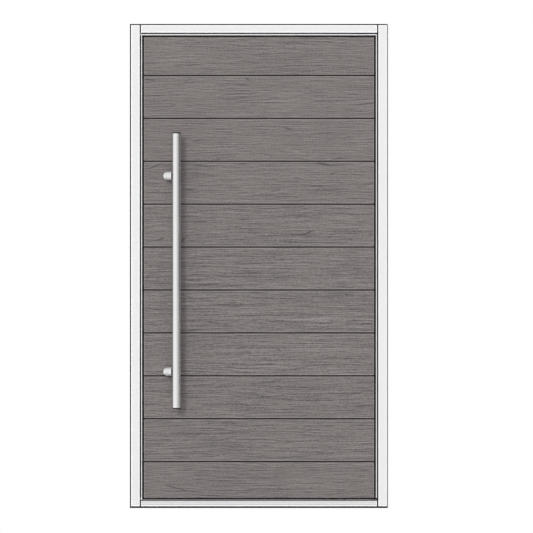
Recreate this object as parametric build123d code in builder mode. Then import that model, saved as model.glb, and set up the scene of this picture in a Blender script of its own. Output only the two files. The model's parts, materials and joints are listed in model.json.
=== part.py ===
"""Pivot entry door: an aluminium frame and a boarded leaf that turns on two pivots.

Millimetres. X runs across the doorway with the lock side at -X and the pivot side at +X,
Y runs through the wall with the street at -Y and the house at +Y, and Z is up from the floor.
The origin is on the underside of the sill bedding, at the middle of the doorway.
"""

from build123d import *
import os

# Frame, over its wall tape and sill bedding
frame_width = 1200
frame_height = 2250
face_setback = 10
jamb_width = 40
head_height = 35
sill_height = 24
tread_thickness = 8
tread_slope = 8
profile_wall = 2.5
profile_corner = 1.5
chamber_count = 3
end_gasket = 6

# Drip grooves along the street face of the sill
drip_groove_width = 1.2
drip_groove_depth = 1
drip_groove_pitch = 8
drip_groove_count = 2

# Tape between frame and wall, and the bedding strip under the sill
tape_thickness = 5.5
tape_width = 30
tape_setback = 8
bedding_thickness = 8.5
bedding_setback = 3

# Fixing holes through the jambs into the wall
fixing_radius = 4.25
fixing_inset = 20
fixing_end_distance = 144.5
fixing_row = 4

# Ribs cut in the tread for grip
rib_groove_width = 3
rib_groove_depth = 1
rib_pitch = 8
rib_count = 10

# Leaf
leaf_gap = 6.5
leaf_thickness = 80
board_thickness = 14
side_trim_thickness = 4.5
top_trim_thickness = 5.5
trim_joint = 0.8
heel_bevel = 3
side_shadow_gap = 8.5
top_shadow_gap = 8
tongue_width = 10
tongue_depth = 12
tongue_play = 0.25
bottom_rail_height = 20

# Boarding
board_pitch = 199.5
lowest_joint = 215.5
joint_width = 5.5
joint_depth = 9
board_arris = 1.2

# Brush seals: a backing in a pocket, and a pile that stands across the gap
brush_width = 6
brush_pocket = 5
brush_row = 20
brush_play = 0.3
jamb_pile = 4.6
leaf_brush_pocket = 3
leaf_pile = 4
sweep_width = 8
sweep_pocket = 12

# Stops behind the heel of the leaf
stop_lap = 30
stop_thickness = 7
stop_gasket_width = 10
stop_gasket_thickness = 2.7
stop_gasket_inset = 1
stop_play = 0.3
stop_start = 72
stop_arris = 2

# Pivots
pivot_inset = 200
pivot_play = 0.05
pivot_lift = 0.3
spindle_radius = 10
spindle_reach = 30
thrust_collar = 14
thrust_collar_height = 2.5
floor_plate_length = 120
floor_plate_width = 40
shoe_length = 140
shoe_height = 40
top_pin_radius = 8
top_pin_reach = 24
top_plate_length = 120
top_plate_width = 28
top_plate_thickness = 6
bush_length = 120
bush_width = 40
bush_height = 30
pin_hole_margin = 2

# Roller catch in the lock edge
catch_height = 1050
catch_width = 24
catch_length = 110
catch_plate_thickness = 3
catch_case_width = 20
catch_case_length = 90
catch_case_depth = 30
roller_radius = 7
roller_length = 20
roller_stand = 4
roller_play = 1
axle_radius = 2
axle_end = 4
strike_width = 28
strike_length = 130
strike_dish = 2

# Pull handles
bar_radius = 21
bar_wall = 2
bar_offset_from_lock_edge = 165.5
bar_projection = 75
bar_bottom = 461
bar_top = 1746
cap_height = 13
cap_chamfer = 4
post_radius = 20
post_offset = 42
post_seat_play = 0.1
lower_post_height = 634
upper_post_height = 1544

# Faces of the frame
frame_depth = leaf_thickness + 2 * face_setback
chamber_pitch = (frame_depth - profile_wall) / chamber_count
jamb_outer = frame_width / 2 - tape_thickness
jamb_inner = jamb_outer - jamb_width
jamb_middle = (jamb_outer + jamb_inner) / 2
head_top = frame_height - tape_thickness
head_bottom = head_top - head_height
sill_bottom = bedding_thickness
tread_bottom = sill_bottom + sill_height
tread_top = tread_bottom + tread_thickness
rail_length = 2 * (jamb_inner - end_gasket)
frame_face = frame_depth / 2

# Faces of the leaf
leaf_edge = jamb_inner - leaf_gap
leaf_top = head_bottom - leaf_gap
leaf_bottom = tread_top + leaf_gap
leaf_face = leaf_thickness / 2
core_edge = leaf_edge - side_trim_thickness
core_face = leaf_face - board_thickness
core_top = leaf_top - top_trim_thickness
core_bottom = leaf_bottom + bottom_rail_height
board_end = core_edge - side_shadow_gap
board_top = core_top - top_shadow_gap
pivot_x = leaf_edge - pivot_inset
head_pile = leaf_gap - brush_play

# Bar and post axes, before the handle is set on the street or the house side
bar_x = bar_offset_from_lock_edge - leaf_edge
bar_y = leaf_face + bar_projection
post_x = bar_x - post_offset
post_knee_y = bar_y - post_offset

os.makedirs("parts", exist_ok=True)


def keep(piece, name):
    """Labels a finished piece and writes it."""
    piece.part.label = name
    export_step(piece.part, f"parts/{name}.step")


def frame_section(width):
    """Section of a hollow frame profile with its brush pocket.

    Local +X faces the leaf, and local +Y the house.
    """
    with BuildSketch() as section:
        Rectangle(width, frame_depth)
        fillet(section.vertices(), profile_corner)
        with GridLocations(0, chamber_pitch, 1, chamber_count):
            Rectangle(width - 2 * profile_wall, chamber_pitch - profile_wall, mode=Mode.SUBTRACT)
        with Locations((width / 2, -brush_row)):
            Rectangle(
                brush_pocket + profile_wall,
                brush_width + 2 * profile_wall,
                align=(Align.MAX, Align.CENTER),
            )
            Rectangle(
                brush_pocket,
                brush_width,
                align=(Align.MAX, Align.CENTER),
                mode=Mode.SUBTRACT,
            )
    return section.sketch


# Jambs: one drilled profile, with the strike seat cut in the lock jamb

jamb_length = head_top - sill_bottom
fixing_pitch = (jamb_length - 2 * fixing_end_distance) / (fixing_row - 1)
fixing_y = frame_face - fixing_inset
jamb_section = frame_section(jamb_width)

with BuildPart() as drilled_jamb:
    with BuildSketch(Plane.XY.offset(sill_bottom)):
        with Locations((-jamb_middle, 0)):
            add(jamb_section)
    extrude(amount=jamb_length)
    with BuildSketch(Plane.YZ.offset(-jamb_outer)):
        with Locations((fixing_y, sill_bottom + jamb_length / 2)):
            with GridLocations(0, fixing_pitch, 1, fixing_row):
                Circle(fixing_radius)
    extrude(amount=jamb_width, mode=Mode.SUBTRACT)

with BuildPart() as jamb_left:
    add(drilled_jamb)
    with BuildSketch(Plane.YZ.offset(-jamb_inner)):
        with Locations((0, catch_height)):
            Rectangle(strike_width, strike_length)
    extrude(amount=-profile_wall, mode=Mode.SUBTRACT)
keep(jamb_left, "jamb_left")

with BuildPart() as jamb_right:
    mirror(drilled_jamb.part, about=Plane.YZ)
keep(jamb_right, "jamb_right")

# Head, with the seat of the top pivot plate cut in its underside

head_section = frame_section(head_height)
head_end = Plane(
    origin=(-rail_length / 2, 0, (head_top + head_bottom) / 2),
    x_dir=(0, 0, -1),
    z_dir=(1, 0, 0),
)

with BuildPart() as head:
    with BuildSketch(head_end):
        add(head_section)
    extrude(amount=rail_length)
    with BuildSketch(Plane.XY.offset(head_bottom)):
        with Locations((pivot_x, 0)):
            Rectangle(top_plate_length, top_plate_width)
    extrude(amount=top_plate_thickness, mode=Mode.SUBTRACT)
keep(head, "head")

# Threshold: a hollow sill profile with two drip grooves, under a ribbed tread with a sloping nose

sill_middle = (sill_bottom + tread_bottom) / 2

with BuildPart() as threshold:
    with BuildSketch(Plane.YZ.offset(-rail_length / 2)):
        with Locations((0, sill_middle)):
            Rectangle(frame_depth, sill_height)
            with GridLocations(chamber_pitch, 0, chamber_count, 1):
                Rectangle(
                    chamber_pitch - profile_wall,
                    sill_height - 2 * profile_wall,
                    mode=Mode.SUBTRACT,
                )
        with Locations((-frame_face, sill_middle)):
            with GridLocations(0, drip_groove_pitch, 1, drip_groove_count):
                Rectangle(
                    drip_groove_depth,
                    drip_groove_width,
                    align=(Align.MIN, Align.CENTER),
                    mode=Mode.SUBTRACT,
                )
    extrude(amount=rail_length)
keep(threshold, "threshold")

with BuildPart() as threshold_tread:
    with BuildSketch(Plane.YZ.offset(-rail_length / 2)):
        with BuildLine():
            Polyline(
                (-frame_face, tread_bottom),
                (frame_face, tread_bottom),
                (frame_face - tread_slope, tread_top),
                (-frame_face + tread_slope, tread_top),
                close=True,
            )
        make_face()
        with Locations((0, tread_top)):
            with GridLocations(rib_pitch, 0, rib_count, 1):
                Rectangle(
                    rib_groove_width,
                    rib_groove_depth,
                    align=(Align.CENTER, Align.MAX),
                    mode=Mode.SUBTRACT,
                )
    extrude(amount=rail_length)
    with BuildSketch(Plane.XY.offset(tread_bottom)):
        with Locations((pivot_x, 0)):
            Rectangle(floor_plate_length, floor_plate_width)
    extrude(amount=tread_thickness, mode=Mode.SUBTRACT)
keep(threshold_tread, "threshold_tread")

# Gaskets in the butt joints, cut to the outline of the rail that they close

for side, hand in (("left", -1), ("right", 1)):
    with BuildPart() as head_end_gasket:
        with BuildSketch(Plane.YZ.offset(hand * jamb_inner)):
            with Locations((0, (head_top + head_bottom) / 2)):
                Rectangle(frame_depth, head_height)
        extrude(amount=-hand * end_gasket)
    keep(head_end_gasket, f"head_end_gasket_{side}")

    with BuildPart() as sill_end_gasket:
        with BuildSketch(Plane.YZ.offset(hand * jamb_inner)):
            with BuildLine():
                Polyline(
                    (-frame_face, sill_bottom),
                    (frame_face, sill_bottom),
                    (frame_face, tread_bottom),
                    (frame_face - tread_slope, tread_top),
                    (-frame_face + tread_slope, tread_top),
                    (-frame_face, tread_bottom),
                    close=True,
                )
            make_face()
        extrude(amount=-hand * end_gasket)
    keep(sill_end_gasket, f"sill_end_gasket_{side}")

# Tape round the frame, and the bedding strip that the sill and the jambs stand on

tape_middle = -frame_face + tape_setback + tape_width / 2

for side, hand in (("left", -1), ("right", 1)):
    with BuildPart() as wall_tape:
        with BuildSketch(Plane.XY):
            with Locations((hand * (jamb_outer + tape_thickness / 2), tape_middle)):
                Rectangle(tape_thickness, tape_width)
        extrude(amount=frame_height)
    keep(wall_tape, f"wall_tape_{side}")

with BuildPart() as wall_tape_top:
    with BuildSketch(Plane.XY.offset(head_top)):
        with Locations((0, tape_middle)):
            Rectangle(2 * jamb_outer, tape_width)
    extrude(amount=tape_thickness)
keep(wall_tape_top, "wall_tape_top")

with BuildPart() as sill_bedding:
    with BuildSketch(Plane.XY):
        Rectangle(2 * jamb_outer, frame_depth - 2 * bedding_setback)
    extrude(amount=bedding_thickness)
keep(sill_bedding, "sill_bedding")

# Brush seals of the frame, on the street side of the leaf's middle plane

with BuildPart() as jamb_brush:
    with BuildSketch(Plane.XY.offset(tread_top)):
        with Locations((-jamb_inner - brush_pocket, -brush_row)):
            Rectangle(
                brush_pocket + jamb_pile,
                brush_width,
                align=(Align.MIN, Align.CENTER),
            )
    extrude(amount=head_bottom - tread_top)
    mirror(about=Plane.YZ)
keep(jamb_brush, "jamb_brush")

with BuildPart() as head_brush:
    with BuildSketch(Plane.YZ.offset(-rail_length / 2)):
        with Locations((-brush_row, head_bottom + brush_pocket)):
            Rectangle(
                brush_width,
                brush_pocket + head_pile,
                align=(Align.CENTER, Align.MAX),
            )
    extrude(amount=rail_length)
keep(head_brush, "head_brush")

# Stops that the heel closes against, on the house side, and their gasket

stop_back = leaf_face + stop_play + stop_gasket_thickness
stop_front = stop_back + stop_thickness
stop_edge = leaf_edge - stop_lap
head_stop_start = pivot_x + stop_start
head_stop_bottom = leaf_top - stop_lap

with BuildPart() as heel_stop:
    with BuildSketch(Plane.XY.offset(tread_top)):
        with Locations((jamb_inner, stop_front)):
            Rectangle(jamb_inner - stop_edge, stop_thickness, align=(Align.MAX, Align.MAX))
    extrude(amount=head_bottom - tread_top)
    free_edge = heel_stop.edges().filter_by(Axis.Z).sort_by(Axis.Y)[-2:].sort_by(Axis.X)[0]
    chamfer(free_edge, stop_arris)
keep(heel_stop, "heel_stop")

with BuildPart() as head_stop:
    with BuildSketch(Plane.YZ.offset(head_stop_start)):
        with Locations((stop_front, head_bottom)):
            Rectangle(stop_thickness, head_bottom - head_stop_bottom, align=(Align.MAX, Align.MAX))
    extrude(amount=stop_edge - head_stop_start)
    free_edge = head_stop.edges().filter_by(Axis.X).sort_by(Axis.Y)[-2:].sort_by(Axis.Z)[0]
    chamfer(free_edge, stop_arris)
keep(head_stop, "head_stop")

gasket_outer_x = stop_edge + stop_gasket_inset + stop_gasket_width
gasket_outer_z = head_stop_bottom + stop_gasket_inset + stop_gasket_width

with BuildPart() as stop_gasket:
    with BuildSketch(Plane.XZ.offset(-stop_back)):
        with Locations((gasket_outer_x, gasket_outer_z)):
            Rectangle(
                stop_gasket_width,
                gasket_outer_z - leaf_bottom,
                align=(Align.MAX, Align.MAX),
            )
            Rectangle(
                gasket_outer_x - head_stop_start,
                stop_gasket_width,
                align=(Align.MAX, Align.MAX),
            )
    extrude(amount=stop_gasket_thickness)
keep(stop_gasket, "stop_gasket")

# Strike plate, flush in the lock jamb, dished for the roller

with BuildPart() as strike_plate:
    with BuildSketch(Plane.YZ.offset(-jamb_inner)):
        with Locations((0, catch_height)):
            Rectangle(strike_width, strike_length)
    extrude(amount=-profile_wall)
    with BuildSketch(Plane.XY.offset(catch_height - roller_length / 2)):
        with Locations((-jamb_inner + roller_radius - strike_dish, 0)):
            Circle(roller_radius)
    extrude(amount=roller_length, mode=Mode.SUBTRACT)
keep(strike_plate, "strike_plate")

# Pivots: a floor plate with its spindle, and a plate in the head with its pin

with BuildPart() as floor_pivot:
    with BuildSketch(Plane.XY.offset(tread_bottom)):
        with Locations((pivot_x, 0)):
            Rectangle(floor_plate_length, floor_plate_width)
    extrude(amount=tread_thickness)
    with BuildSketch(Plane.XY.offset(tread_top)):
        with Locations((pivot_x, 0)):
            Circle(thrust_collar)
    extrude(amount=thrust_collar_height)
    with BuildSketch(Plane.XY.offset(tread_top)):
        with Locations((pivot_x, 0)):
            Circle(spindle_radius)
    extrude(amount=leaf_gap + spindle_reach - pivot_lift)
keep(floor_pivot, "floor_pivot")

with BuildPart() as top_pivot:
    with BuildSketch(Plane.XY.offset(head_bottom)):
        with Locations((pivot_x, 0)):
            Rectangle(top_plate_length, top_plate_width)
    extrude(amount=top_plate_thickness)
    with BuildSketch(Plane.XY.offset(head_bottom)):
        with Locations((pivot_x, 0)):
            Circle(top_pin_radius)
    extrude(amount=-(leaf_gap + top_trim_thickness + top_pin_reach - pivot_lift))
keep(top_pivot, "top_pivot")

# Leaf core, grooved for the tongues of the trims and cut for the pivots and the catch

core_height = core_top - core_bottom
core_middle = (core_top + core_bottom) / 2
shoe_top = leaf_bottom + shoe_height

with BuildPart() as leaf_core:
    with Locations((0, 0, core_bottom)):
        Box(
            2 * core_edge,
            2 * core_face,
            core_height,
            align=(Align.CENTER, Align.CENTER, Align.MIN),
        )
    with BuildSketch(Plane.XZ.offset(-tongue_width / 2)):
        with Locations((0, core_middle)):
            Rectangle(2 * core_edge, core_height)
            Rectangle(
                2 * (core_edge - tongue_depth),
                core_height - 2 * tongue_depth,
                mode=Mode.SUBTRACT,
            )
    extrude(amount=tongue_width, mode=Mode.SUBTRACT)
    with Locations((pivot_x, 0, shoe_top)):
        Box(
            shoe_length,
            2 * core_face,
            shoe_top - core_bottom,
            align=(Align.CENTER, Align.CENTER, Align.MAX),
            mode=Mode.SUBTRACT,
        )
    with Locations((pivot_x, 0, core_top)):
        Box(
            bush_length,
            bush_width,
            bush_height,
            align=(Align.CENTER, Align.CENTER, Align.MAX),
            mode=Mode.SUBTRACT,
        )
    with Locations((-core_edge, 0, catch_height)):
        Box(
            catch_case_depth,
            catch_case_width,
            catch_case_length,
            align=(Align.MIN, Align.CENTER, Align.CENTER),
            mode=Mode.SUBTRACT,
        )
keep(leaf_core, "leaf_core")

# Facings: horizontal boards with a square-bottomed joint between arrised edges

joint_count = 1 + int((board_top - lowest_joint) // board_pitch)
board_middle = (leaf_bottom + board_top) / 2

for side, hand in (("outer", -1), ("inner", 1)):
    outward = Axis((0, 0, 0), (0, hand, 0))
    with BuildPart() as facing:
        with BuildSketch(Plane.XZ.offset(-hand * core_face)):
            with Locations((0, board_middle)):
                Rectangle(2 * board_end, board_top - leaf_bottom)
        extrude(amount=-hand * board_thickness)
        chamfer(facing.faces().sort_by(outward)[-1].edges(), board_arris)
        with BuildSketch(Plane.YZ.offset(-board_end)):
            for joint in range(joint_count):
                height = lowest_joint + joint * board_pitch
                with BuildLine():
                    Polyline(
                        (hand * (leaf_face - joint_depth), height - joint_width / 2),
                        (hand * (leaf_face - board_arris), height - joint_width / 2),
                        (hand * leaf_face, height - joint_width / 2 - board_arris),
                        (hand * leaf_face, height + joint_width / 2 + board_arris),
                        (hand * (leaf_face - board_arris), height + joint_width / 2),
                        (hand * (leaf_face - joint_depth), height + joint_width / 2),
                        close=True,
                    )
                make_face()
        extrude(amount=2 * board_end, mode=Mode.SUBTRACT)
    keep(facing, f"{side}_facing")

# Edge trims of the leaf, with tongues in the grooves of the core. They meet in a mitre over
# the lock edge, and the top one runs over the heel. The heel is bevelled, so that its
# house-side corner turns past the jamb.

tongue_thick = tongue_width - 2 * tongue_play
tongue_reach = tongue_depth - tongue_play
side_trim_height = core_top - trim_joint - leaf_bottom
side_tongue_height = core_height - 2 * tongue_depth

with BuildPart() as edge_trim_lock:
    with BuildSketch(Plane.XY.offset(leaf_bottom)):
        with Locations((-core_edge, 0)):
            Rectangle(side_trim_thickness, leaf_thickness, align=(Align.MAX, Align.CENTER))
        with Locations((-leaf_edge, brush_row)):
            Rectangle(
                leaf_brush_pocket,
                brush_width,
                align=(Align.MIN, Align.CENTER),
                mode=Mode.SUBTRACT,
            )
    extrude(amount=leaf_top - leaf_bottom)
    with BuildSketch(Plane.XZ.offset(-leaf_face)):
        with BuildLine():
            Polyline(
                (-core_edge, core_top - trim_joint),
                (-leaf_edge, leaf_top - trim_joint),
                (-leaf_edge, leaf_top),
                (-core_edge, leaf_top),
                close=True,
            )
        make_face()
    extrude(amount=leaf_thickness, mode=Mode.SUBTRACT)
    with BuildSketch(Plane.XY.offset(core_bottom + tongue_depth)):
        with Locations((-core_edge, 0)):
            Rectangle(tongue_reach, tongue_thick, align=(Align.MIN, Align.CENTER))
    extrude(amount=side_tongue_height)
    with Locations((-leaf_edge, 0, catch_height)):
        Box(
            catch_plate_thickness,
            catch_width,
            catch_length,
            align=(Align.MIN, Align.CENTER, Align.CENTER),
            mode=Mode.SUBTRACT,
        )
        Box(
            side_trim_thickness + catch_case_depth,
            catch_case_width,
            catch_case_length,
            align=(Align.MIN, Align.CENTER, Align.CENTER),
            mode=Mode.SUBTRACT,
        )
keep(edge_trim_lock, "edge_trim_lock")

with BuildPart() as edge_trim_heel:
    with BuildSketch(Plane.XY.offset(leaf_bottom)):
        with BuildLine():
            Polyline(
                (core_edge, -leaf_face),
                (leaf_edge, -leaf_face),
                (leaf_edge - heel_bevel, leaf_face),
                (core_edge, leaf_face),
                close=True,
            )
        make_face()
    extrude(amount=side_trim_height)
    with BuildSketch(Plane.XY.offset(core_bottom + tongue_depth)):
        with Locations((core_edge, 0)):
            Rectangle(tongue_reach, tongue_thick, align=(Align.MAX, Align.CENTER))
    extrude(amount=side_tongue_height)
keep(edge_trim_heel, "edge_trim_heel")

with BuildPart() as edge_trim_top:
    with BuildSketch(Plane.XY.offset(core_top)):
        with BuildLine():
            Polyline(
                (-leaf_edge, -leaf_face),
                (leaf_edge, -leaf_face),
                (leaf_edge - heel_bevel, leaf_face),
                (-leaf_edge, leaf_face),
                close=True,
            )
        make_face()
        with Locations((pivot_x, 0)):
            Circle(top_pin_radius + pin_hole_margin, mode=Mode.SUBTRACT)
    extrude(amount=top_trim_thickness)
    with BuildSketch(Plane.XZ.offset(-leaf_face)):
        with BuildLine():
            Polyline(
                (-core_edge, core_top),
                (-leaf_edge, leaf_top),
                (-leaf_edge, core_top),
                close=True,
            )
        make_face()
    extrude(amount=leaf_thickness, mode=Mode.SUBTRACT)
    with BuildSketch(Plane.XY.offset(core_top)):
        Rectangle(2 * (core_edge - tongue_play), tongue_thick)
        with Locations((pivot_x, 0)):
            Rectangle(bush_length + 2 * tongue_play, tongue_width, mode=Mode.SUBTRACT)
    extrude(amount=-tongue_reach)
keep(edge_trim_top, "edge_trim_top")

# Bottom rail between the facings, slotted for the sweep, and cut for the pivot shoe

with BuildPart() as bottom_rail:
    with BuildSketch(Plane.YZ.offset(-core_edge)):
        with Locations((0, leaf_bottom)):
            Rectangle(2 * core_face, bottom_rail_height, align=(Align.CENTER, Align.MIN))
        with Locations((-brush_row, leaf_bottom)):
            Rectangle(
                sweep_width,
                sweep_pocket,
                align=(Align.CENTER, Align.MIN),
                mode=Mode.SUBTRACT,
            )
    extrude(amount=2 * core_edge)
    with BuildSketch(Plane.XY.offset(core_bottom)):
        Rectangle(2 * (core_edge - tongue_depth), tongue_thick)
    extrude(amount=tongue_reach)
    with Locations((pivot_x, 0, leaf_bottom)):
        Box(
            shoe_length,
            2 * core_face,
            shoe_height,
            align=(Align.CENTER, Align.CENTER, Align.MIN),
            mode=Mode.SUBTRACT,
        )
keep(bottom_rail, "bottom_rail")

with BuildPart() as bottom_sweep:
    with BuildSketch(Plane.YZ.offset(-core_edge)):
        with Locations((-brush_row, leaf_bottom + sweep_pocket)):
            Rectangle(
                sweep_width,
                sweep_pocket + leaf_gap - brush_play,
                align=(Align.CENTER, Align.MAX),
            )
    extrude(amount=2 * core_edge)
keep(bottom_sweep, "bottom_sweep")

with BuildPart() as leaf_edge_brush:
    with BuildSketch(Plane.XY.offset(leaf_bottom)):
        with Locations((-leaf_edge + leaf_brush_pocket, brush_row)):
            Rectangle(
                leaf_brush_pocket + leaf_pile,
                brush_width,
                align=(Align.MAX, Align.CENTER),
            )
    extrude(amount=side_trim_height)
keep(leaf_edge_brush, "leaf_edge_brush")

# Blocks in the leaf that turn on the pivots

with BuildPart() as pivot_shoe:
    with BuildSketch(Plane.XY.offset(leaf_bottom)):
        with Locations((pivot_x, 0)):
            Rectangle(shoe_length, 2 * core_face)
            with Locations((0, -brush_row)):
                Rectangle(shoe_length, sweep_width, mode=Mode.SUBTRACT)
    extrude(amount=sweep_pocket)
    with BuildSketch(Plane.XY.offset(leaf_bottom + sweep_pocket)):
        with Locations((pivot_x, 0)):
            Rectangle(shoe_length, 2 * core_face)
    extrude(amount=shoe_height - sweep_pocket)
    with BuildSketch(Plane.XY.offset(leaf_bottom)):
        with Locations((pivot_x, 0)):
            Circle(spindle_radius + pivot_play)
    extrude(amount=spindle_reach, mode=Mode.SUBTRACT)
keep(pivot_shoe, "pivot_shoe")

with BuildPart() as pivot_bush:
    with BuildSketch(Plane.XY.offset(core_top)):
        with Locations((pivot_x, 0)):
            Rectangle(bush_length, bush_width)
    extrude(amount=-bush_height)
    with BuildSketch(Plane.XY.offset(core_top)):
        with Locations((pivot_x, 0)):
            Circle(top_pin_radius + pivot_play)
    extrude(amount=-top_pin_reach, mode=Mode.SUBTRACT)
keep(pivot_bush, "pivot_bush")

# Roller catch: a case with its plate flush in the lock edge, and the roller on its axle

roller_x = -leaf_edge - roller_stand + roller_radius
case_back = -leaf_edge + side_trim_thickness + catch_case_depth

with BuildPart() as catch_case:
    with Locations((-leaf_edge, 0, catch_height)):
        Box(
            catch_plate_thickness,
            catch_width,
            catch_length,
            align=(Align.MIN, Align.CENTER, Align.CENTER),
        )
        Box(
            case_back + leaf_edge,
            catch_case_width,
            catch_case_length,
            align=(Align.MIN, Align.CENTER, Align.CENTER),
        )
        Box(
            2 * roller_radius - roller_stand + roller_play,
            2 * (roller_radius + roller_play),
            roller_length + 2 * roller_play,
            align=(Align.MIN, Align.CENTER, Align.CENTER),
            mode=Mode.SUBTRACT,
        )
    with BuildSketch(Plane.XY.offset(catch_height - roller_length / 2 - axle_end)):
        with Locations((roller_x, 0)):
            Circle(axle_radius + pivot_play)
    extrude(amount=roller_length + 2 * axle_end, mode=Mode.SUBTRACT)
keep(catch_case, "catch_case")

with BuildPart() as catch_roller:
    with BuildSketch(Plane.XY.offset(catch_height - roller_length / 2)):
        with Locations((roller_x, 0)):
            Circle(roller_radius)
    extrude(amount=roller_length)
    with BuildSketch(Plane.XY.offset(catch_height - roller_length / 2 - axle_end)):
        with Locations((roller_x, 0)):
            Circle(axle_radius)
    extrude(amount=roller_length + 2 * axle_end)
keep(catch_roller, "catch_roller")

# Pull handles, one on each side: a tube closed by two caps, on two posts that stand off the
# leaf, turn 45 degrees in a mitre and are coped to the tube

for side, hand in (("outer", -1), ("inner", 1)):
    bar_place = (bar_x, hand * bar_y)

    with BuildPart() as handle_bar:
        with BuildSketch(Plane.XY.offset(bar_bottom + cap_height)):
            with Locations(bar_place):
                Circle(bar_radius)
                Circle(bar_radius - bar_wall, mode=Mode.SUBTRACT)
        extrude(amount=bar_top - bar_bottom - 2 * cap_height)
    keep(handle_bar, f"{side}_handle_bar")

    for level, way in (("upper", 1), ("lower", -1)):
        seat = bar_top - cap_height if way > 0 else bar_bottom + cap_height
        with BuildPart() as handle_cap:
            with BuildSketch(Plane.XY.offset(seat)):
                with Locations(bar_place):
                    Circle(bar_radius)
            extrude(amount=way * cap_height)
            outer_end = Axis((0, 0, 0), (0, 0, way))
            rim = handle_cap.edges().filter_by(GeomType.CIRCLE).sort_by(outer_end)[-1]
            chamfer(rim, cap_chamfer)
        keep(handle_cap, f"{side}_handle_cap_{level}")

    for level, height in (("upper", upper_post_height), ("lower", lower_post_height)):
        with BuildPart() as handle_post:
            with BuildLine() as post_line:
                Polyline(
                    (post_x, hand * leaf_face, height),
                    (post_x, hand * post_knee_y, height),
                    (bar_x, hand * bar_y, height),
                )
            with BuildSketch(Plane(origin=post_line.line @ 0, z_dir=post_line.line % 0)):
                Circle(post_radius)
            sweep(transition=Transition.RIGHT)
            with BuildSketch(Plane.XY.offset(height - 2 * post_radius)):
                with Locations(bar_place):
                    Circle(bar_radius + post_seat_play)
            extrude(amount=4 * post_radius, mode=Mode.SUBTRACT)
        keep(handle_post, f"{side}_handle_post_{level}")
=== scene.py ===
"""Looks of the pivot entry door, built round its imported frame.

Metres, in the frame of the part: X across the doorway with the lock side at -X, Y through the
wall with the street at -Y, and Z up from the floor.
"""

import json
import math

import bmesh
import bpy
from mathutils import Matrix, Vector


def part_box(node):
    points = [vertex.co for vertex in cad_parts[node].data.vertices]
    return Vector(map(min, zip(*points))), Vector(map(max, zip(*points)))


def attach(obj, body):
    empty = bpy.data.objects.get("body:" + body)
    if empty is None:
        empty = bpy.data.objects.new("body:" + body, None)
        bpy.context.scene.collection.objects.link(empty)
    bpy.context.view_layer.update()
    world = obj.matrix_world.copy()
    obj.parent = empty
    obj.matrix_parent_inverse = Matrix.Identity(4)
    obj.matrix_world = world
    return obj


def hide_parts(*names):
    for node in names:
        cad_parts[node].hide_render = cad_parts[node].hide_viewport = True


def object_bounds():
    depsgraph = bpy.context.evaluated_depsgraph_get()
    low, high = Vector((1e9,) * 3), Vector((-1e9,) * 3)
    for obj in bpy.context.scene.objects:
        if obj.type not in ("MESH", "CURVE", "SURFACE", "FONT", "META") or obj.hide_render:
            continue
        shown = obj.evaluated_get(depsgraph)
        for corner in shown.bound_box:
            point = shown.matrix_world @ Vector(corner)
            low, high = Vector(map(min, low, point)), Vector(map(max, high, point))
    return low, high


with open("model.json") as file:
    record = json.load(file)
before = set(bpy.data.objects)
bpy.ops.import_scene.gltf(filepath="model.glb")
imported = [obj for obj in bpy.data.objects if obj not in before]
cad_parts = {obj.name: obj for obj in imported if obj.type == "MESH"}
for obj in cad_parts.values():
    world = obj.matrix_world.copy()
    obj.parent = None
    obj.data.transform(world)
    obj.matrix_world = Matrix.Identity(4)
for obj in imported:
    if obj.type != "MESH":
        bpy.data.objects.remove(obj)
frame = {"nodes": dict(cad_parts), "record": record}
cad_low, cad_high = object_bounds()

# Boards, as the facings are cut
BOARD_PITCH = 0.1995
LOWEST_JOINT = 0.2155
JOINT_WIDTH = 0.0055
BOARD_ARRIS = 0.0012
ARRIS_STEPS = 2
ARRIS_PROFILE = 0.6

# The photograph's frame, and where the door stands in it
FRAME_PIXELS = 533
METRES_PER_PIXEL = 0.004648
DOOR_CENTRE_PIXEL = (259.0, 266.0)
CAMERA_DISTANCE = 6.0


# Colours


def linear(red, green, blue):
    """Linear colour of an sRGB colour given in 0 to 255."""
    channels = []
    for value in (red, green, blue):
        share = value / 255
        channels.append(share / 12.92 if share <= 0.04045 else ((share + 0.055) / 1.055) ** 2.4)
    return (*channels, 1.0)


def grey(value):
    return (value, value, value, 1.0)


def scaled(colour, share):
    return (*(channel * share for channel in colour[:3]), 1.0)


# Node trees

# The range that a noise keeps to over most of a surface
NOISE_LOW, NOISE_HIGH = 0.3, 0.7

# A pale streak and the dark one beside it stand this far apart
STREAK_SHIFT = 0.0046

# The sockets of a Mix node that take and give colours
MIX_COLOURS = slice(6, 8)
MIX_RESULT = 2


class Nodes:
    """A node tree under construction, with short calls for its nodes and links."""

    def __init__(self, tree):
        self.tree = tree

    def node(self, kind, **settings):
        made = self.tree.nodes.new(kind)
        for key, value in settings.items():
            setattr(made, key, value)
        return made

    def link(self, source, target):
        self.tree.links.new(source, target)

    def feed(self, target, value):
        """Links a socket to another, or sets it to a fixed number or colour."""
        if isinstance(value, bpy.types.NodeSocket):
            self.link(value, target)
        else:
            target.default_value = value

    def math(self, operation, first, second=0.0):
        made = self.node("ShaderNodeMath", operation=operation)
        self.feed(made.inputs[0], first)
        self.feed(made.inputs[1], second)
        return made.outputs["Value"]


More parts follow.
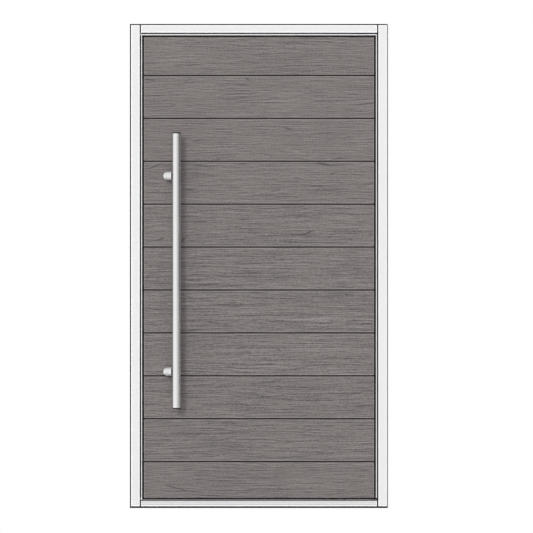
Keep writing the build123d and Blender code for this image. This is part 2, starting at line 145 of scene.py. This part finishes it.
class Paint(Nodes):
    """A material under construction, with one principled shader."""

    def __init__(self, name):
        self.material = bpy.data.materials.new(name)
        self.material.use_nodes = True
        super().__init__(self.material.node_tree)
        self.shader = self.tree.nodes["Principled BSDF"]

    def set(self, **values):
        for key, value in values.items():
            self.shader.inputs[key.replace("_", " ")].default_value = value

    def place(self):
        """Coordinates of the part, in metres."""
        return self.node("ShaderNodeTexCoord").outputs["Object"]

    def axis(self, name):
        """One coordinate of the part, in metres."""
        parts = self.node("ShaderNodeSeparateXYZ")
        self.link(self.place(), parts.inputs["Vector"])
        return parts.outputs[name]

    def absolute(self, value):
        return self.math("ABSOLUTE", value)

    def sum(self, *weighted):
        """Sum of values, each times its weight."""
        total = 0.0
        for value, weight in weighted:
            total = self.math("ADD", self.math("MULTIPLY", value, weight), total)
        return total

    def from_edges(self, value, low, high):
        """How far a coordinate is inside the nearer of two limits."""
        above = self.math("SUBTRACT", value, low)
        below = self.math("SUBTRACT", high, value)
        return self.math("MINIMUM", above, below)

    def vector(self, **parts):
        made = self.node("ShaderNodeCombineXYZ")
        for name, value in parts.items():
            self.link(value, made.inputs[name.upper()])
        return made.outputs["Vector"]

    def moved(self, vector, offset):
        made = self.node("ShaderNodeVectorMath", operation="ADD")
        self.link(vector, made.inputs[0])
        self.link(offset, made.inputs[1])
        return made.outputs["Vector"]

    def noise(self, scale, detail, vector=None, shift=0.0, roughness=0.55):
        """A noise over the part, with a scale for each axis.

        It can be laid over other coordinates, and shifted along Z.
        """
        mapping = self.node("ShaderNodeMapping")
        mapping.inputs["Scale"].default_value = scale
        mapping.inputs["Location"].default_value = (0.0, 0.0, shift * scale[2])
        self.link(self.place() if vector is None else vector, mapping.inputs["Vector"])
        made = self.node("ShaderNodeTexNoise")
        made.inputs["Scale"].default_value = 1.0
        made.inputs["Detail"].default_value = detail
        made.inputs["Roughness"].default_value = roughness
        self.link(mapping.outputs["Vector"], made.inputs["Vector"])
        return made.outputs["Fac"]

    def crisp_noise(self, scale, vector):
        """Streaks, each with a contrasting one beside it, about a mean of 0.5."""
        streak = self.noise(scale, 0.0, vector)
        beside = self.noise(scale, 0.0, vector, shift=STREAK_SHIFT)
        return self.sum((streak, 2.0), (beside, -1.0))

    def remap(self, value, low, high, new_low, new_high):
        made = self.node("ShaderNodeMapRange")
        for key, number in (
            ("From Min", low), ("From Max", high), ("To Min", new_low), ("To Max", new_high)
        ):
            made.inputs[key].default_value = number
        self.link(value, made.inputs["Value"])
        return made.outputs["Result"]

    def spread(self, noise, low, high):
        """Spreads the usual range of a noise over a new range."""
        return self.remap(noise, NOISE_LOW, NOISE_HIGH, low, high)

    def within(self, distance, width, blend, share=1.0):
        """A share as far as a width, which falls to nothing over the blend beyond it."""
        return self.remap(distance, width, width + blend, share, 0.0)

    def ramp(self, value, stops):
        made = self.node("ShaderNodeValToRGB")
        elements = made.color_ramp.elements
        while len(elements) < len(stops):
            elements.new(0.5)
        for element, (position, colour) in zip(elements, stops):
            element.position = position
            element.color = colour
        self.link(value, made.inputs["Fac"])
        return made.outputs["Color"]

    def shades(self, noise, colour, darkest, palest):
        """A colour that a noise takes from its darkest share to its palest."""
        return self.ramp(noise, [
            (NOISE_LOW, scaled(colour, darkest)),
            (NOISE_HIGH, scaled(colour, palest)),
        ])

    def blend(self, share, first, second):
        """Mixes two colours, each a socket or a fixed colour."""
        made = self.node("ShaderNodeMix", data_type="RGBA")
        self.link(share, made.inputs[0])
        for target, colour in zip(made.inputs[MIX_COLOURS], (first, second)):
            self.feed(target, colour)
        return made.outputs[MIX_RESULT]

    def bump(self, height, strength, distance):
        made = self.node("ShaderNodeBump")
        made.inputs["Strength"].default_value = strength
        made.inputs["Distance"].default_value = distance
        self.link(height, made.inputs["Height"])
        self.link(made.outputs["Normal"], self.shader.inputs["Normal"])

    def finish(self, tone, roughness=None):
        """Gives the shader its tone, and its roughness where that varies."""
        self.link(tone, self.shader.inputs["Base Color"])
        if roughness is not None:
            self.link(roughness, self.shader.inputs["Roughness"])


# Powder coat

COAT = grey(0.765)
PEEL_SCALE = (900, 900, 900)
PEEL_BUMP = (0.06, 0.0002)
CLOUD_SCALE = (3, 3, 3)
COAT_SHADES = (0.985, 1.0)
COAT_ROUGHNESS = (0.39, 0.47)

# The street and house faces of the frame start this far from its middle
FACE_START = 0.0485
FACE_BLEND = 0.0005

# A painted highlight: a paler band along the edges of a face, which ends this far from them
EDGE_HIGHLIGHT_BAND = 0.0050
EDGE_HIGHLIGHT_BLEND = 0.002
EDGE_HIGHLIGHT_GAIN = 1.30

# Two drip grooves along the sill, even about the middle of its height, with painted shade in them
GROOVE_PITCH = 0.008
GROOVE_HALF = 0.0007
GROOVE_BLEND = 0.0003
GROOVE_PAINTED_SHADE = 0.65

# A thin dark line of painted shadow on the pivot jamb, beside the gap at the heel of the leaf
GAP_SHADOW_WIDTH = 0.0007
GAP_SHADOW_BLEND = 0.0002
GAP_SHADOW_SHADE = 0.03


def coat(name, colour, edges=None, grooves=None, gap_shadow=None):
    """Powder coat: a fine orange peel, and a faint unevenness of tone.

    A distance from the nearest edge, given as a function, makes the coat paler there as a painted
    highlight, and a distance from the gap beside the leaf gives it a thin dark line of painted
    shadow, both on the street and house faces alone. A distance from the grooves makes it darker
    in them, as painted shade.
    """
    paint = Paint(name)
    cloud = paint.noise(CLOUD_SCALE, detail=3.0)
    tone = paint.shades(cloud, colour, *COAT_SHADES)
    if edges is not None:
        # Painted highlight: a paler band along the edges of the face
        near = paint.within(edges(paint), EDGE_HIGHLIGHT_BAND - EDGE_HIGHLIGHT_BLEND, EDGE_HIGHLIGHT_BLEND)
        near = paint.math("MULTIPLY", near, on_face(paint))
        tone = paint.blend(near, tone, scaled(colour, EDGE_HIGHLIGHT_GAIN))
    if grooves is not None:
        # Painted shade in the drip grooves
        inside = paint.within(grooves(paint), GROOVE_HALF, GROOVE_BLEND)
        tone = paint.blend(inside, tone, scaled(colour, GROOVE_PAINTED_SHADE))
    if gap_shadow is not None:
        # Painted shadow: a thin dark line beside the gap at the heel of the leaf
        near = paint.within(gap_shadow(paint), GAP_SHADOW_WIDTH, GAP_SHADOW_BLEND)
        near = paint.math("MULTIPLY", near, on_face(paint))
        tone = paint.blend(near, tone, scaled(colour, GAP_SHADOW_SHADE))
    paint.finish(tone, paint.spread(cloud, *COAT_ROUGHNESS))
    paint.bump(paint.noise(PEEL_SCALE, detail=2.0), *PEEL_BUMP)
    return paint.material


def on_face(paint):
    """1 on the street and house faces of the frame, and 0 between them."""
    depth = paint.absolute(paint.axis("Y"))
    return paint.remap(depth, FACE_START, FACE_START + FACE_BLEND, 0.0, 1.0)


def jamb_edges(paint):
    """Distance from the nearest edge of a jamb's face, on either side of the doorway."""
    low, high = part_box("jamb_right")
    from_side = paint.from_edges(paint.absolute(paint.axis("X")), low.x, high.x)
    return paint.math("MINIMUM", from_side, paint.from_edges(paint.axis("Z"), low.z, high.z))


def head_edges(paint):
    """Distance from the nearest edge of the head's face."""
    low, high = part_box("head")
    from_end = paint.from_edges(paint.axis("X"), low.x, high.x)
    return paint.math("MINIMUM", from_end, paint.from_edges(paint.axis("Z"), low.z, high.z))


def sill_edges(paint):
    """Distance from the lower edge of the sill's face, or from an end of it if that is nearer."""
    low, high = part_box("threshold")
    above = paint.math("SUBTRACT", paint.axis("Z"), low.z)
    return paint.math("MINIMUM", above, paint.from_edges(paint.axis("X"), low.x, high.x))


def sill_grooves(paint):
    """Distance from the middle of the nearer drip groove of the sill."""
    low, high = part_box("threshold")
    height = paint.math("SUBTRACT", paint.axis("Z"), (low.z + high.z) / 2)
    return paint.absolute(paint.math("SUBTRACT", paint.absolute(height), GROOVE_PITCH / 2))


def pivot_gap(paint):
    """Distance from the gap between the heel of the leaf and the pivot jamb."""
    beside = paint.math("SUBTRACT", paint.axis("X"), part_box("jamb_right")[0].x)
    above = paint.math("SUBTRACT", paint.axis("Z"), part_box("head")[0].z)
    below = paint.math("SUBTRACT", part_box("threshold")[1].z, paint.axis("Z"))
    return paint.math("MAXIMUM", paint.math("MAXIMUM", beside, above), below)


# Rubber, foam, pile and nylon

SOFT_SHADES = (0.7, 1.3)
SOFT_BUMP = (0.4, 0.0004)
SOFT_SPECULAR = 0.12


def dark_soft(name, colour, roughness=0.85, grain=700):
    """Rubber, foam or pile: near black, with a fine broken surface."""
    paint = Paint(name)
    fine = paint.noise((grain, grain, grain), detail=3.0)
    paint.finish(paint.shades(fine, colour, *SOFT_SHADES))
    paint.bump(fine, *SOFT_BUMP)
    paint.set(Roughness=roughness, Specular_IOR_Level=SOFT_SPECULAR)
    return paint.material


# Steel

UPRIGHT_LINES = (1200, 1200, 14)
STEEL_SHADES = (0.94, 1.0)
STEEL_CLOUD_SCALE = (9, 9, 5)
LINE_GLOSS = 0.05
CLOUD_GLOSS = (-0.02, 0.03)
STEEL_BUMP = (0.05, 0.0001)

# Painted shade, as dark lines where the posts meet the tube and round the chamfers of the caps
SEAM_SHADOW_BLEND = 0.0008
SEAM_PAINTED_SHADE = 0.015
TUBE_SEAM_SHADOW_WIDTH = 0.0044
CAP_RIM_SHADOW_WIDTH = 0.0043


def steel(name, colour, roughness=0.3, lines=UPRIGHT_LINES, metallic=1.0, seam=None,
          seam_shadow_width=0.0):
    """Satin steel: brushing lines along one axis, in its gloss and its relief.

    A seam, given as a function of the distance from it, shows as a thin dark line of painted shade.
    """
    paint = Paint(name)
    brushed = paint.noise(lines, detail=3.0)
    tone = paint.shades(brushed, colour, *STEEL_SHADES)
    if seam is not None:
        # Painted shade along the seam
        near = paint.within(seam(paint), seam_shadow_width, SEAM_SHADOW_BLEND)
        tone = paint.blend(near, tone, scaled(colour, SEAM_PAINTED_SHADE))
    cloud = paint.noise(STEEL_CLOUD_SCALE, detail=2.0)
    gloss = paint.math(
        "ADD",
        paint.spread(brushed, roughness - LINE_GLOSS, roughness + LINE_GLOSS),
        paint.spread(cloud, *CLOUD_GLOSS),
    )
    paint.finish(tone, gloss)
    paint.bump(brushed, *STEEL_BUMP)
    paint.set(Metallic=metallic, Specular_Tint=grey(0.0))
    return paint.material


def from_tube(paint):
    """Distance from the face of the handle tube, on either side of the leaf."""
    low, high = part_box("outer_handle_bar")
    middle = (low + high) / 2
    across = paint.math("SUBTRACT", paint.axis("X"), middle.x)
    away = paint.math("SUBTRACT", paint.absolute(paint.axis("Y")), -middle.y)
    length = paint.node("ShaderNodeVectorMath", operation="LENGTH")
    paint.link(paint.vector(x=across, y=away), length.inputs[0])
    return paint.math("SUBTRACT", length.outputs["Value"], (high.x - low.x) / 2)


def from_cap_rim(paint):
    """The depth below the end of the handle plus the depth inside the face of its tube.

    This is the same all over the chamfer of a cap, and more on the flat and round faces.
    """
    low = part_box("outer_handle_cap_lower")[0]
    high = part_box("outer_handle_cap_upper")[1]
    from_end = paint.from_edges(paint.axis("Z"), low.z, high.z)
    return paint.math("SUBTRACT", from_end, from_tube(paint))


# Stained boards. The scales of the grain are along a board, through it and across it.

WOOD = linear(117, 111, 110)
WOOD_ROUGHNESS = 0.72
WOOD_BUMP = (0.3, 0.00075)

# Each board takes its grain from another place, so many metres on for each seed
SEED_ALONG = 3.7
SEED_THROUGH = 1.9

WANDER_SCALE = (2.2, 1.0, 11.0)
WANDER_LIFT = 0.03

# Each pattern of the grain, and its share of the whole figure
STREAK_SCALE, STREAK_SHARE = (5.0, 1.0, 205.0), 0.21
DASH_SCALE, DASH_SHARE = (20.0, 1.0, 215.0), 0.15
FIBRE_SCALE, FIBRE_SHARE = (130.0, 1.0, 260.0), 0.34
RING_SCALE, RING_SHARE = (1.6, 1.0, 75.0), 0.19
TONE_SCALE, TONE_SHARE = (2.0, 1.0, 9.0), 0.11
FIGURE_STOPS = [
    (0.19, scaled(WOOD, 0.30)),
    (0.50, WOOD),
    (0.81, scaled(WOOD, 1.65)),
]

# Ring lines: their field, how wide they are, and where they show
HILL_SCALE = (3.0, 1.0, 13.0)
HILL_LIFT = 0.13
LINE_PITCH = 0.036
LINE_CORE = 0.00078
LINE_WIDTH = 0.0026
LINE_FADING_SCALE = (6.0, 1.0, 30.0)
LINE_FADING = (0.53, 0.66)
LINE_SHARE = 0.75
LINE_SHADE = 0.3

# Open pores and checks
PORE_SCALE = (9.0, 1.0, 170.0)
PORE_LEVELS = (0.64, 0.74)
PORE_SHARE = 0.6
PORE_SHADE = 0.55
PORE_DEPTH = 0.2

# Painted highlight on the arrises beside the joints and at the ends
ARRIS_HIGHLIGHT_WIDTH = 0.0062
ARRIS_HIGHLIGHT_BLEND = 0.003
ARRIS_HIGHLIGHT_SHARE = 0.35
ARRIS_HIGHLIGHT_GAIN = 1.75


def stained_wood(name):
    """Grey stained boards, with the grain along X, shifted from board to board."""
    paint = Paint(name)
    seed = paint.node("ShaderNodeAttribute", attribute_name="board_seed").outputs["Fac"]
    board = paint.moved(paint.place(), paint.vector(
        x=paint.math("MULTIPLY", seed, SEED_ALONG),
        y=paint.math("MULTIPLY", seed, SEED_THROUGH),
    ))

    # The grain wanders a little along the board
    wander = paint.noise(WANDER_SCALE, 0.0, board)
    grain = paint.moved(board, paint.vector(z=paint.math("MULTIPLY", wander, WANDER_LIFT)))

    figure = paint.sum(
        (paint.crisp_noise(STREAK_SCALE, grain), STREAK_SHARE),
        (paint.crisp_noise(DASH_SCALE, grain), DASH_SHARE),
        (paint.noise(FIBRE_SCALE, 0.0, grain), FIBRE_SHARE),
        (paint.noise(RING_SCALE, 2.0, grain, roughness=0.6), RING_SHARE),
        (paint.noise(TONE_SCALE, 2.0, board), TONE_SHARE),
    )
    tone = paint.ramp(figure, FIGURE_STOPS)

    # Ring lines: thin dark lines at even levels of a field that rises across the board.
    # They come and go, and close in a point round each hill and hollow of the field.
    hills = paint.noise(HILL_SCALE, 0.0, board)
    field = paint.math("ADD", paint.axis("Z"), paint.math("MULTIPLY", hills, HILL_LIFT))
    from_line = paint.math("PINGPONG", field, LINE_PITCH / 2)
    line = paint.within(from_line, LINE_CORE, LINE_WIDTH - LINE_CORE)
    fading = paint.noise(LINE_FADING_SCALE, 1.0, board)
    strength = paint.remap(fading, *LINE_FADING, 0.0, LINE_SHARE)
    tone = paint.blend(paint.math("MULTIPLY", line, strength), tone, scaled(WOOD, LINE_SHADE))

    # Open pores and checks: short dark dashes along the grain
    pores = paint.remap(paint.noise(PORE_SCALE, 1.0, grain), *PORE_LEVELS, 0.0, PORE_SHARE)
    tone = paint.blend(pores, tone, scaled(WOOD, PORE_SHADE))

    # Painted highlight: paler arrises beside the joints and at the ends of the boards
    height = paint.math("SUBTRACT", paint.axis("Z"), LOWEST_JOINT)
    from_joint = paint.math("PINGPONG", height, BOARD_PITCH / 2)
    board_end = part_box("outer_facing")[1].x + JOINT_WIDTH / 2
    from_end = paint.math("SUBTRACT", board_end, paint.absolute(paint.axis("X")))
    nearest = paint.math("MINIMUM", from_joint, from_end)
    arris_highlight = paint.within(nearest, ARRIS_HIGHLIGHT_WIDTH, ARRIS_HIGHLIGHT_BLEND, ARRIS_HIGHLIGHT_SHARE)
    tone = paint.blend(arris_highlight, tone, scaled(WOOD, ARRIS_HIGHLIGHT_GAIN))

    paint.finish(tone)
    relief = paint.math("SUBTRACT", figure, paint.math("MULTIPLY", pores, PORE_DEPTH))
    paint.bump(relief, *WOOD_BUMP)
    paint.set(Roughness=WOOD_ROUGHNESS)
    return paint.material


# Finishes

# Painted highlight along the edges of the faces of the jambs and the head
JAMB_COAT = coat("jamb_coat", COAT, jamb_edges)
# The pivot jamb also has a thin line of painted shadow beside the gap at the heel of the leaf
PIVOT_JAMB_COAT = coat("pivot_jamb_coat", COAT, jamb_edges, gap_shadow=pivot_gap)
HEAD_COAT = coat("head_coat", COAT, head_edges)
PALE_TAPE = dark_soft("pale_tape", grey(0.32))
TAPE = dark_soft("tape", grey(0.02))
BOARDS = stained_wood("stained_boards")
# Posts and caps: painted shade where the posts meet the tube and round the rims of the caps
POST_STEEL = steel("post_steel", grey(0.81), roughness=0.30, metallic=0.45, seam=from_tube,
                   seam_shadow_width=TUBE_SEAM_SHADOW_WIDTH)
CAP_STEEL = steel("cap_steel", grey(0.96), roughness=0.14, seam=from_cap_rim,
                  seam_shadow_width=CAP_RIM_SHADOW_WIDTH)
SCREW_STEEL = steel("screw_steel", grey(0.62), roughness=0.25, lines=(600, 600, 600))
# Painted shade for the cross recesses of the screws
RECESS_PAINTED_SHADE = dark_soft("recess", grey(0.015), roughness=0.6)

# By the slots of the record
FINISHES = {
    "frame_coat": coat("frame_coat", COAT),
    # The sill: painted highlight along its lower edge and ends, and painted shade in its drip
    # grooves
    "sill_coat": coat("sill_coat", grey(0.755), sill_edges, sill_grooves),
    "tread": steel("anodised_tread", grey(0.33), roughness=0.45, lines=(6, 900, 900)),
    "trim_coat": coat("trim_coat", grey(0.72)),
    "boards": BOARDS,
    "core": dark_soft("black_core", grey(0.008), grain=300),
    "rail": dark_soft("black_rail", grey(0.02), roughness=0.45),
    "handle_steel": steel("handle_steel", grey(0.96), roughness=0.14),
    "hardware_steel": steel("hardware_steel", grey(0.45), lines=(12, 900, 900)),
    "roller": dark_soft("roller_nylon", grey(0.04), roughness=0.4),
    "gasket": dark_soft("rubber", grey(0.018)),
    "brush": dark_soft("pile", grey(0.012), roughness=0.95),
    "tape": TAPE,
    "bedding": TAPE,
}

# Nodes whose finish has a pattern or a shade of its own
OWN_FINISHES = {
    "jamb_left": JAMB_COAT,
    "jamb_right": PIVOT_JAMB_COAT,
    "head": HEAD_COAT,
    "wall_tape_right": PALE_TAPE,
}
for side in ("outer", "inner"):
    for level in ("upper", "lower"):
        OWN_FINISHES[f"{side}_handle_post_{level}"] = POST_STEEL
        OWN_FINISHES[f"{side}_handle_cap_{level}"] = CAP_STEEL


def dress_nodes():
    """Gives each node of the frame its own finish, or the one that its slot names."""
    for entry in frame["record"]["subparts"]:
        name = entry["node"]
        node = frame["nodes"][name]
        node.data.materials.clear()
        finish = OWN_FINISHES.get(name, FINISHES[entry["material_slot"]])
        node.data.materials.append(finish)


# Pieces of the scene


def add_piece(name, mesh_builder, material, body):
    """Makes a mesh object from a bmesh, and sets its finish and the body that it rides on."""
    mesh = bpy.data.meshes.new(name)
    mesh_builder.to_mesh(mesh)
    mesh_builder.free()
    piece = bpy.data.objects.new(name, mesh)
    bpy.context.scene.collection.objects.link(piece)
    mesh.materials.append(material)
    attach(piece, body)
    return piece


# Boards


def box_between(low, high):
    """A bmesh box from its lowest corner to its highest."""
    builder = bmesh.new()
    bmesh.ops.create_cube(builder, size=1.0)
    for vertex in builder.verts:
        vertex.co = Vector(
            low[axis] if vertex.co[axis] < 0 else high[axis] for axis in range(3)
        )
    return builder


def board_faces():
    """Lower and upper edge of each board, from the bottom of the leaf to the top."""
    low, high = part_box("outer_facing")
    edges = [low.z]
    joint = LOWEST_JOINT
    while joint < high.z:
        edges += [joint - JOINT_WIDTH / 2, joint + JOINT_WIDTH / 2]
        joint += BOARD_PITCH
    edges.append(high.z)
    return list(zip(edges[::2], edges[1::2]))


def add_boards(side, first_seed):
    """The boards of one face of the leaf, in place of its plain facing."""
    low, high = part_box(f"{side}_facing")
    for number, (bottom, top) in enumerate(board_faces(), 1):
        builder = box_between((low.x, low.y, bottom), (high.x, high.y, top))
        bmesh.ops.bevel(
            builder, geom=builder.edges[:], offset=BOARD_ARRIS, segments=ARRIS_STEPS,
            affect="EDGES", profile=ARRIS_PROFILE,
        )
        board = add_piece(f"{side}_board_{number:02d}", builder, BOARDS, "leaf")
        seeds = board.data.attributes.new("board_seed", "FLOAT", "POINT")
        for item in seeds.data:
            item.value = first_seed + number
        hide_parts(f"{side}_facing")


# Screws of the plates, each a low dome with a cross of painted shade on it for its recess

SCREW_SIDES = 24
SCREW_RISE = 0.00035
SCREW_SINK = 0.0004
SCREW_FLAT = 0.86

# The bars of the cross, in shares of the screw's radius, and how they lie in the head
CROSS_LENGTH = 1.1
CROSS_WIDTH = 0.28
CROSS_THICKNESS = 0.0003
CROSS_SINK = 0.0001

# Places of the screws of the pivot plates, either side of the pivot
PIVOT_SCREW_REACH = 0.048


def add_screw(name, place, outward, radius, body):
    """A countersunk screw whose head stands a little proud of a face.

    The place is on the face, and outward is the way that the face looks.
    """
    builder = bmesh.new()
    rings = []
    for share, height in ((1.0, -SCREW_SINK), (1.0, 0.0), (SCREW_FLAT, SCREW_RISE)):
        rings.append([builder.verts.new((
            radius * share * math.cos(2 * math.pi * turn / SCREW_SIDES),
            radius * share * math.sin(2 * math.pi * turn / SCREW_SIDES),
            height,
        )) for turn in range(SCREW_SIDES)])
    for lower, upper in zip(rings, rings[1:]):
        for turn in range(SCREW_SIDES):
            after = (turn + 1) % SCREW_SIDES
            builder.faces.new((lower[turn], lower[after], upper[after], upper[turn]))
    builder.faces.new(rings[-1])
    turned = Vector(outward).to_track_quat("Z", "Y").to_matrix().to_4x4()
    turned.translation = Vector(place)
    bmesh.ops.transform(builder, matrix=turned, verts=builder.verts[:])
    add_piece(name, builder, SCREW_STEEL, body)

    # The cross recess is a pair of dark bars sunk in the head, painted with the shade that would
    # fall in it
    builder = bmesh.new()
    for length, width in ((CROSS_LENGTH, CROSS_WIDTH), (CROSS_WIDTH, CROSS_LENGTH)):
        for vertex in bmesh.ops.create_cube(builder, size=1.0)["verts"]:
            vertex.co = Vector((
                vertex.co.x * length * radius,
                vertex.co.y * width * radius,
                vertex.co.z * CROSS_THICKNESS + SCREW_RISE - CROSS_SINK,
            ))
    bmesh.ops.transform(builder, matrix=turned, verts=builder.verts[:])
    add_piece(f"{name}_recess", builder, RECESS_PAINTED_SHADE, body)


def add_screws():
    """Screws in the strike plate, the plate of the catch, and the two pivot plates."""
    for name, (low, high), way, inset, radius, body in (
        ("strike_screw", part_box("strike_plate"), 1, 0.014, 0.0042, "frame"),
        ("catch_screw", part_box("catch_case"), -1, 0.0048, 0.0036, "leaf"),
    ):
        face = high.x if way > 0 else low.x
        middle = (low + high) / 2
        for number, z in enumerate((low.z + inset, high.z - inset), 1):
            add_screw(f"{name}_{number}", (face, middle.y, z), (way, 0, 0), radius, body)
    for name, (low, high), face, way, radius in (
        ("floor_pivot_screw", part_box("floor_pivot"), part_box("threshold_tread")[1].z, 1, 0.0050),
        ("top_pivot_screw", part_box("top_pivot"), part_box("head")[0].z, -1, 0.0046),
    ):
        middle = (low + high) / 2
        for number, side_way in enumerate((-1, 1), 1):
            place = (middle.x + side_way * PIVOT_SCREW_REACH, middle.y, face)
            add_screw(f"{name}_{number}", place, (0, 0, way), radius, "frame")


# Stage

STAGE_REACH = 20.0
STAGE_BACK = 8.0
STAGE_ROUGHNESS = 0.9


def white_to_camera(paint, share):
    """Mixes white into what camera, gloss and glass see, and keeps the paint for light."""
    path = paint.node("ShaderNodeLightPath")
    seen = paint.math("MAXIMUM", path.outputs["Is Camera Ray"], path.outputs["Is Glossy Ray"])
    seen = paint.math("MAXIMUM", seen, path.outputs["Is Transmission Ray"])
    white = paint.node("ShaderNodeEmission")
    mix = paint.node("ShaderNodeMixShader")
    paint.link(paint.math("MULTIPLY", seen, share), mix.inputs["Fac"])
    paint.link(paint.shader.outputs["BSDF"], mix.inputs[1])
    paint.link(white.outputs["Emission"], mix.inputs[2])
    paint.link(mix.outputs["Shader"], paint.tree.nodes["Material Output"].inputs["Surface"])


def add_plane(name, corners, shade, white):
    """A plane of the stage, with a shade of grey and a share of white for the camera."""
    paint = Paint(name)
    paint.set(Base_Color=grey(shade), Roughness=STAGE_ROUGHNESS)
    white_to_camera(paint, white)
    mesh = bpy.data.meshes.new(name)
    mesh.from_pydata(corners, [], [(0, 1, 2, 3)])
    mesh.materials.append(paint.material)
    plane = bpy.data.objects.new(name, mesh)
    bpy.context.scene.collection.objects.link(plane)


def add_stage():
    """A pale floor, and a white backdrop behind the door."""
    left, right = -STAGE_REACH, STAGE_REACH
    front, back = -STAGE_REACH, STAGE_BACK
    bottom, top = -STAGE_REACH, STAGE_REACH
    add_plane("floor", [
        (left, front, 0), (right, front, 0), (right, back, 0), (left, back, 0),
    ], shade=0.80, white=0.55)
    add_plane("backdrop", [
        (left, back, bottom), (right, back, bottom), (right, back, top), (left, back, top),
    ], shade=0.85, white=1.0)


# Light: two broad glows of the world, in front and behind, and a sun in each

GLOW_LEVEL = 0.30
GLOW_GAIN = 0.70
GLOW_LEAST = 0.12
FRONT_GLOW = (-0.62, -0.62, 0.48)
BACK_GLOW = (-0.30, 0.75, 0.58)
FRONT_SUN = (-0.28, -1.0, 0.35)
BACK_SUN = (0.45, 1.0, 0.40)
SUN_STRENGTH = 1.43
SUN_SPREAD = 17


def add_world():
    """Soft light all round, brighter from above in front of the door and behind it."""
    world = bpy.data.worlds.new("studio")
    world.use_nodes = True
    bpy.context.scene.world = world
    sky = Nodes(world.node_tree)
    direction = sky.node("ShaderNodeTexCoord").outputs["Generated"]

    def glow(towards):
        dot = sky.node("ShaderNodeVectorMath", operation="DOT_PRODUCT")
        dot.inputs[1].default_value = Vector(towards).normalized()
        sky.link(direction, dot.inputs[0])
        gain = sky.math("MULTIPLY", dot.outputs["Value"], GLOW_GAIN)
        return sky.math("ADD", gain, GLOW_LEVEL)

    both = sky.math("MAXIMUM", glow(FRONT_GLOW), glow(BACK_GLOW))
    background = sky.tree.nodes["Background"]
    background.inputs["Color"].default_value = grey(1.0)
    sky.link(sky.math("MAXIMUM", both, GLOW_LEAST), background.inputs["Strength"])


def add_sun(name, towards):
    """A far lamp that shines from a direction, given as the way towards it."""
    sun = bpy.data.lights.new(name, "SUN")
    sun.energy = SUN_STRENGTH
    sun.angle = math.radians(SUN_SPREAD)
    holder = bpy.data.objects.new(name, sun)
    bpy.context.scene.collection.objects.link(holder)
    holder.rotation_euler = Vector(towards).to_track_quat("Z", "Y").to_euler()
    holder.visible_glossy = False


def add_camera():
    """Straight front view with parallel rays, framed as the photograph is."""
    data = bpy.data.cameras.new("camera")
    data.type = "ORTHO"
    data.ortho_scale = FRAME_PIXELS * METRES_PER_PIXEL
    camera = bpy.data.objects.new("camera", data)
    bpy.context.scene.collection.objects.link(camera)
    middle = FRAME_PIXELS / 2
    centre_z = (cad_low.z + cad_high.z) / 2
    camera.location = (
        (middle - DOOR_CENTRE_PIXEL[0]) * METRES_PER_PIXEL,
        -CAMERA_DISTANCE,
        centre_z + (DOOR_CENTRE_PIXEL[1] - middle) * METRES_PER_PIXEL,
    )
    camera.rotation_euler = (math.pi / 2, 0, 0)
    bpy.context.scene.camera = camera


dress_nodes()
add_boards("outer", 0)
add_boards("inner", 20)
add_screws()
add_stage()
add_world()
add_sun("front_sun", FRONT_SUN)
add_sun("back_sun", BACK_SUN)
add_camera()
bpy.context.scene.view_settings.view_transform = "Standard"
